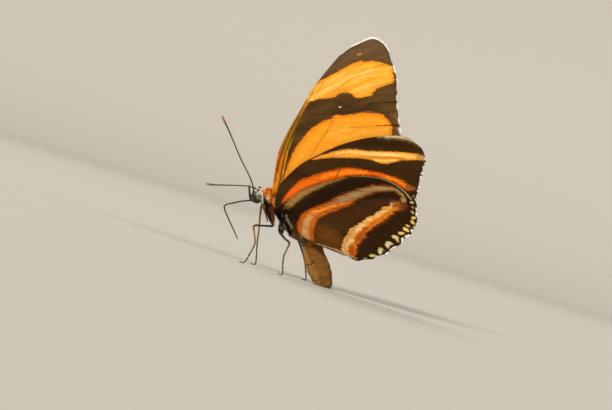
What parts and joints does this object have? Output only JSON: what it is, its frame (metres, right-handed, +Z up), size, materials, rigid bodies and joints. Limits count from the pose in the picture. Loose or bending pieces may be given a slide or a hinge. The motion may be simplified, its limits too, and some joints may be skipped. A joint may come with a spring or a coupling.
{
  "type": "banded orange butterfly",
  "caption": "Life-size butterfly standing with closed, banded orange and brown wings, feelers and long curved mouthpart out",
  "frame": {"origin": "on the floor under the middle of the butterfly's bounding box", "axes": "+Z up, head towards -X, abdomen towards +X, the animal's left side towards -Y"},
  "size_m": [0.0497, 0.02, 0.0576],
  "materials": {
    "thorax_fur": "short black-brown fur with cream patches and orange shoulders",
    "head_fur": "short black fur with cream spots",
    "abdomen_scales": "matte golden brown scales",
    "eye": "glossy dark compound eye with pale mottling",
    "feeler": "dark satin horn",
    "palp": "short black and pale scales",
    "leg": "satin brown to black horn with fine scales",
    "forewing": "matte orange and dark brown wing scales",
    "hindwing": "matte dark brown, orange and cream wing scales"
  },
  "bodies": {
    "root": {"thorax": "thorax_fur", "head": "head_fur", "abdomen": "abdomen_scales", "eye_left": "eye", "eye_right": "eye", "antenna_left": "feeler", "antenna_right": "feeler", "palp_left": "palp", "palp_right": "palp", "proboscis": "feeler", "foreleg_left": "leg", "foreleg_right": "leg", "midleg_left": "leg", "midleg_right": "leg", "hindleg_left": "leg", "hindleg_right": "leg", "forewing_left": "forewing", "forewing_right": "forewing", "hindwing_left": "hindwing", "hindwing_right": "hindwing"}
  },
  "joints": []
}
